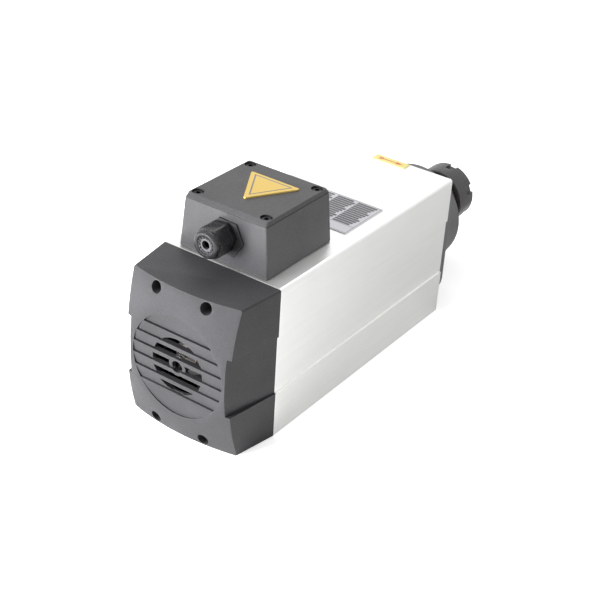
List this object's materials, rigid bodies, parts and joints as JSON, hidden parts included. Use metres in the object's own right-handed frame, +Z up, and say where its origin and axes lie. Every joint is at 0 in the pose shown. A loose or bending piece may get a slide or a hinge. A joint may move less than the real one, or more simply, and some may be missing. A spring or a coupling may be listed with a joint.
{
  "type": "motor spindle",
  "caption": "Square air-cooled motor spindle: extruded housing with collet nose, domed fan cover with slatted grille, and a top terminal box with cable gland.",
  "frame": {"origin": "on the spindle axis, in the mouth of the collet, flush with the nut's front face", "axes": "+Y along the spindle axis out of the nose, +Z up towards the terminal box, +X to the right seen from the fan end"},
  "size_m": [0.103, 0.3704, 0.1638],
  "materials": {
    "housing_aluminium": "satin anodised extrusion",
    "nose_aluminium": "black anodised, finely turned",
    "cover_plastic": "grained moulding",
    "box_plastic": "fine textured casting",
    "gland_nylon": "glossy black nylon",
    "seal_rubber": "matte",
    "gasket_rubber": "matte",
    "black_screws": "blackened steel",
    "zinc_screws": "bright zinc",
    "shaft_steel": "ground",
    "bearing_steel": "polished",
    "cage_resin": "phenolic resin",
    "nut_steel": "blackened steel",
    "collet_steel": "ground and polished",
    "fan_plastic": "moulded nylon",
    "stack_steel": "stacked laminations",
    "rotor_aluminium": "die cast",
    "winding_copper": "varnished copper",
    "terminal_plastic": "moulded",
    "terminal_brass": "machined",
    "plate_foil": "printed silver foil",
    "label_vinyl": "yellow vinyl",
    "triangle_foil": "gold yellow foil"
  },
  "bodies": {
    "motor_frame": {"motor_housing": "housing_aluminium", "front_end_plate": "nose_aluminium", "front_plate_screws": "black_screws", "front_bearing_cap": "nose_aluminium", "front_cap_screws": "black_screws", "front_bearing_outer_rings": "bearing_steel", "outer_bearing_spacer": "bearing_steel", "stator_core": "stack_steel", "stator_winding": "winding_copper", "rear_bearing_plate": "rotor_aluminium", "rear_plate_screws": "zinc_screws", "rear_bearing_outer_ring": "bearing_steel", "rear_wave_spring": "bearing_steel", "rear_cover": "cover_plastic", "cover_screws": "black_screws", "nameplate": "plate_foil", "direction_label": "label_vinyl", "box_gasket": "gasket_rubber", "terminal_box_base": "box_plastic", "box_fixing_screws": "zinc_screws", "lead_grommet": "gasket_rubber", "terminal_block": "terminal_plastic", "terminal_clamps": "terminal_brass", "terminal_screws": "zinc_screws", "terminal_block_screws": "zinc_screws", "earth_screw": "zinc_screws", "lid_gasket": "gasket_rubber", "terminal_box_lid": "box_plastic", "lid_screws": "black_screws", "triangle_plate": "triangle_foil", "gland_body": "gland_nylon", "gland_locknut": "gland_nylon", "gland_washer": "gasket_rubber"},
    "spindle": {"spindle_shaft": "shaft_steel", "front_bearing_inner_rings": "bearing_steel", "inner_bearing_spacer": "bearing_steel", "bearing_locknut": "nut_steel", "rotor_core": "stack_steel", "rotor_cage": "rotor_aluminium", "rear_bearing_inner_ring": "bearing_steel", "cooling_fan": "fan_plastic", "fan_circlip": "shaft_steel", "slinger_ring": "shaft_steel", "slinger_grub_screws": "black_screws"},
    "front_cages": {"front_bearing_cages": "cage_resin", "front_bearing_balls": "bearing_steel"},
    "rear_cage": {"rear_bearing_cage": "cage_resin", "rear_bearing_balls": "bearing_steel"},
    "collet": {"spring_collet": "collet_steel", "nut_pull_ring": "collet_steel"},
    "nut": {"collet_nut": "nut_steel"},
    "cable_seal": {"gland_seal": "seal_rubber"},
    "gland_nut": {"gland_dome_nut": "gland_nylon"}
  },
  "joints": [
    {"name": "spindle_spin", "type": "hinge", "parent": "motor_frame", "child": "spindle", "pos_m": [0, 0, 0], "axis": [0, 1, 0], "continuous": true},
    {"name": "front_cages_spin", "type": "hinge", "parent": "motor_frame", "child": "front_cages", "pos_m": [0, 0, 0], "axis": [0, 1, 0], "continuous": true},
    {"name": "rear_cage_spin", "type": "hinge", "parent": "motor_frame", "child": "rear_cage", "pos_m": [0, 0, 0], "axis": [0, 1, 0], "continuous": true},
    {"name": "collet_travel", "type": "slide", "parent": "spindle", "child": "collet", "axis": [0, 1, 0], "range_m": [0, 0.012]},
    {"name": "nut_turn", "type": "hinge", "parent": "collet", "child": "nut", "pos_m": [0, 0, 0], "axis": [0, 1, 0], "range_deg": [0, 2880]},
    {"name": "seal_travel", "type": "slide", "parent": "motor_frame", "child": "cable_seal", "axis": [0, -1, 0], "range_m": [0, 0.003]},
    {"name": "gland_nut_turn", "type": "hinge", "parent": "cable_seal", "child": "gland_nut", "pos_m": [-0.001, -0.3335, 0.0822], "axis": [0, -1, 0], "range_deg": [0, 720]}
  ],
  "couplings": [
    {"joint": "front_cages_spin", "follows": "spindle_spin", "ratio": 0.4203},
    {"joint": "rear_cage_spin", "follows": "spindle_spin", "ratio": 0.4128},
    {"joint": "collet_travel", "follows": "nut_turn", "m_per_rad": 0.00023873},
    {"joint": "seal_travel", "follows": "gland_nut_turn", "m_per_rad": 0.00023873}
  ]
}
